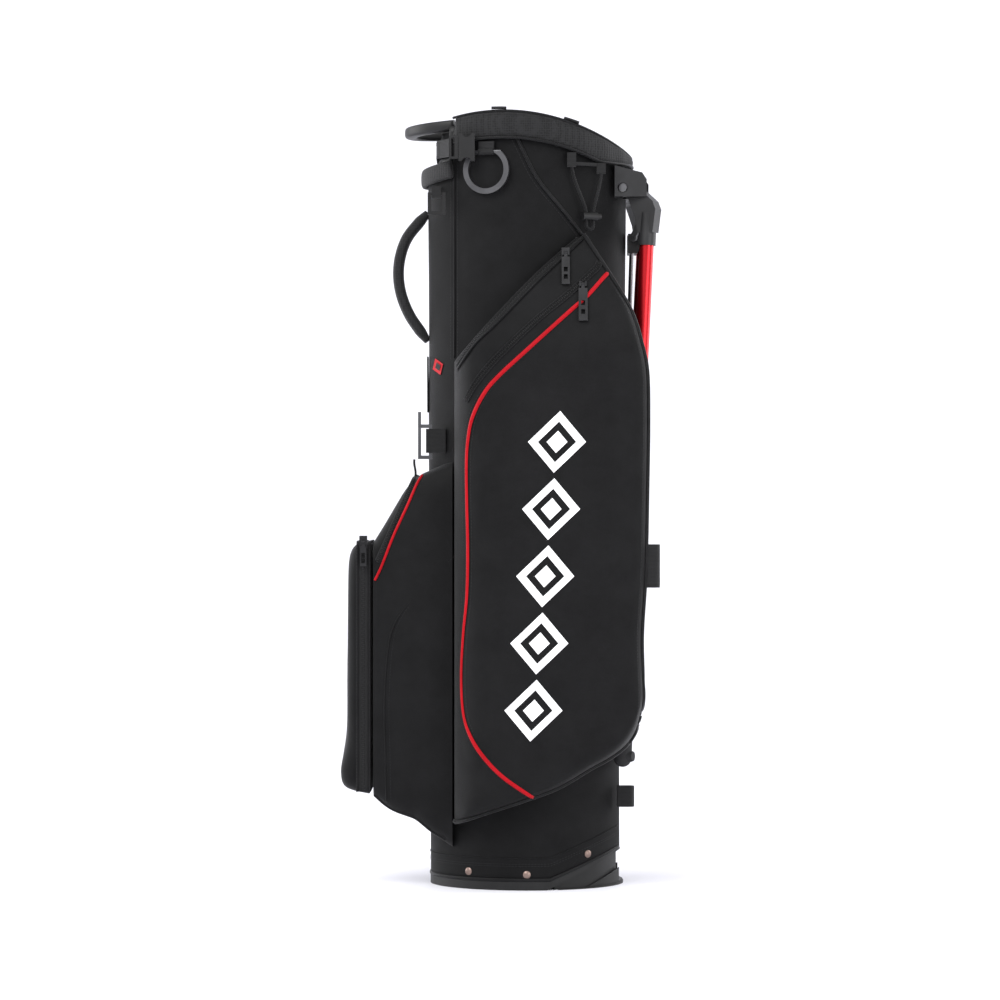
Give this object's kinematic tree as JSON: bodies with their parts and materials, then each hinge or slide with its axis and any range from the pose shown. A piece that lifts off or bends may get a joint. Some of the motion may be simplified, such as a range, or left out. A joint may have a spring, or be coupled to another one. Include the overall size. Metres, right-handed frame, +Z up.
{
  "type": "golf stand bag",
  "caption": "Upright fabric golf bag with a moulded base, a four-way padded top, zipped pockets and two legs that swing out when the base foot is pressed.",
  "frame": {"origin": "on the floor, on the bag's axis, under the base cup", "axes": "+Z up along the bag, +X towards the legs, -Y towards the near pocket side"},
  "size_m": [0.3621, 0.2706, 0.8731],
  "materials": {
    "moulded_plastic": "fine matt moulded texture",
    "base_plastic": "satin moulded",
    "body_fabric": "fine coated weave",
    "pocket_fabric": "fine coated weave",
    "mesh_fabric": "padded air mesh",
    "webbing": "ribbed webbing",
    "divider_fabric": "thin lining",
    "red_piping": "smooth corded edging",
    "black_piping": "smooth corded edging",
    "zip_tape": "zip tape and coil",
    "gunmetal": "satin dark metal",
    "spring_steel": "dark satin",
    "silver_metal": "satin",
    "red_aluminium": "anodised red",
    "grey_plastic": "satin dark grey",
    "rubber": "matt rubber",
    "cord": "braided"
  },
  "bodies": {
    "root": {"ball_pocket": "pocket_fabric", "base_cup": "base_plastic", "base_rivets": "gunmetal", "body_shell": "body_fabric", "border_piping": "black_piping", "buckle_female": "moulded_plastic", "carry_handle": "mesh_fabric", "cord_lock": "moulded_plastic", "cuff_frame": "moulded_plastic", "cuff_pad": "mesh_fabric", "divider_bars": "moulded_plastic", "divider_panels": "divider_fabric", "foot_hinge_pin": "spring_steel", "frame_stays": "grey_plastic", "garment_pocket": "pocket_fabric", "garment_pocket_far": "pocket_fabric", "leg_bracket": "grey_plastic", "leg_pins": "spring_steel", "rear_pad": "mesh_fabric", "rear_strap": "webbing", "red_piping": "red_piping", "red_tab": "red_piping", "side_loops": "webbing", "side_pocket": "pocket_fabric", "spine_webbing": "webbing", "umbrella_cord": "cord", "umbrella_tab": "webbing", "upper_pocket": "pocket_fabric", "webbing_tabs": "webbing", "wire_guides": "moulded_plastic", "zip_chain_ball": "zip_tape", "zip_chain_far": "zip_tape", "zip_chain_garment": "zip_tape", "zip_chain_upper": "zip_tape"},
    "foot": {"base_foot": "base_plastic"},
    "actuator": {"actuator_wire": "spring_steel", "crosshead": "moulded_plastic"},
    "leg_near": {"leg_knuckle_near": "grey_plastic", "leg_tube_near": "red_aluminium", "leg_foot_near": "rubber"},
    "leg_far": {"leg_knuckle_far": "grey_plastic", "leg_tube_far": "red_aluminium", "leg_foot_far": "rubber"},
    "link_near": {"link_near": "grey_plastic"},
    "link_far": {"link_far": "grey_plastic"},
    "towel_ring": {"towel_ring": "gunmetal"},
    "strap_ring": {"strap_ring": "moulded_plastic"},
    "hip_clip": {"hip_clip": "silver_metal"},
    "buckle_plug": {"buckle_male": "moulded_plastic", "buckle_web": "webbing"},
    "slider_upper": {"zip_slider_upper": "gunmetal"},
    "slider_garment": {"zip_slider_garment": "gunmetal"},
    "slider_far": {"zip_slider_far": "gunmetal"},
    "slider_ball": {"zip_slider_ball": "gunmetal"},
    "pull_upper": {"zip_pull_upper": "gunmetal"},
    "pull_garment": {"zip_pull_garment": "gunmetal"},
    "pull_far": {"zip_pull_far": "gunmetal"},
    "pull_ball": {"zip_pull_ball": "gunmetal"},
    "lock_button": {"cord_lock_button": "moulded_plastic"}
  },
  "joints": [
    {"name": "base_foot", "type": "hinge", "parent": "root", "child": "foot", "pos_m": [0.022, 0, 0.005], "axis": [0, -1, 0], "range_deg": [0, 24]},
    {"name": "actuator_lift", "type": "slide", "parent": "root", "child": "actuator", "axis": [0.0305, 0, 0.9995], "range_m": [0, 0.019]},
    {"name": "leg_near_swing", "type": "hinge", "parent": "root", "child": "leg_near", "pos_m": [0.116, -0.04, 0.786], "axis": [-0.4226, -0.9063, 0], "range_deg": [0, 28]},
    {"name": "leg_far_swing", "type": "hinge", "parent": "root", "child": "leg_far", "pos_m": [0.116, 0.04, 0.786], "axis": [0.4226, -0.9063, 0], "range_deg": [0, 28]},
    {"name": "link_near_turn", "type": "hinge", "parent": "actuator", "child": "link_near", "pos_m": [0.11974, -0.02795, 0.7321], "axis": [0.4226, 0.9063, 0], "range_deg": [-2, 28]},
    {"name": "link_far_turn", "type": "hinge", "parent": "actuator", "child": "link_far", "pos_m": [0.11974, 0.02795, 0.7321], "axis": [-0.4226, 0.9063, 0], "range_deg": [-2, 28]},
    {"name": "towel_ring_swing", "type": "hinge", "parent": "root", "child": "towel_ring", "pos_m": [-0.046, -0.09194, 0.823], "axis": [-0.9406, 0.3394, 0], "range_deg": [0, 28]},
    {"name": "strap_ring_swing", "type": "hinge", "parent": "root", "child": "strap_ring", "pos_m": [-0.102, -0.064, 0.7782], "axis": [-1, 0, 0], "range_deg": [0, 40]},
    {"name": "hip_clip_swing", "type": "hinge", "parent": "root", "child": "hip_clip", "pos_m": [-0.1089, -0.0546, 0.5015], "axis": [0, 0, 1], "range_deg": [0, 30]},
    {"name": "buckle_release", "type": "slide", "parent": "root", "child": "buckle_plug", "axis": [-1, 0, 0], "range_m": [0, 0.016]},
    {"name": "zip_upper_slide", "type": "slide", "parent": "root", "child": "slider_upper", "axis": [-0.7593, -0.1761, -0.6265], "range_m": [0, 0.035]},
    {"name": "zip_garment_slide", "type": "slide", "parent": "root", "child": "slider_garment", "axis": [-0.7198, -0.1878, -0.6682], "range_m": [0, 0.018]},
    {"name": "zip_far_slide", "type": "slide", "parent": "root", "child": "slider_far", "axis": [-0.7198, 0.1878, -0.6682], "range_m": [0, 0.018]},
    {"name": "zip_ball_slide", "type": "slide", "parent": "root", "child": "slider_ball", "axis": [0, 0, -1], "range_m": [0, 0.27]},
    {"name": "pull_upper_swing", "type": "hinge", "parent": "slider_upper", "child": "pull_upper", "pos_m": [0.042, -0.11018, 0.70913], "axis": [-1, 0, 0], "range_deg": [0, 150]},
    {"name": "pull_garment_swing", "type": "hinge", "parent": "slider_garment", "child": "pull_garment", "pos_m": [0.061, -0.12006, 0.67399], "axis": [-1, 0, 0], "range_deg": [0, 150]},
    {"name": "pull_far_swing", "type": "hinge", "parent": "slider_far", "child": "pull_far", "pos_m": [0.061, 0.12006, 0.67399], "axis": [1, 0, 0], "range_deg": [0, 150]},
    {"name": "pull_ball_swing", "type": "hinge", "parent": "slider_ball", "child": "pull_ball", "pos_m": [-0.184, -0.0726, 0.388], "axis": [-1, 0, 0], "range_deg": [0, 150]},
    {"name": "lock_button_press", "type": "slide", "parent": "root", "child": "lock_button", "axis": [-0.9135, -0.4067, 0], "range_m": [0, 0.0028], "stiffness_N_per_m": 150, "springref_m": -0.001}
  ],
  "couplings": [
    {"joint": "actuator_lift", "follows": "base_foot", "m_per_rad": 0.045359},
    {"joint": "leg_near_swing", "follows": "base_foot", "ratio": 1.1667},
    {"joint": "leg_far_swing", "follows": "base_foot", "ratio": 1.1667},
    {"joint": "link_near_turn", "follows": "base_foot", "ratio": 1.079},
    {"joint": "link_far_turn", "follows": "base_foot", "ratio": 1.079}
  ]
}
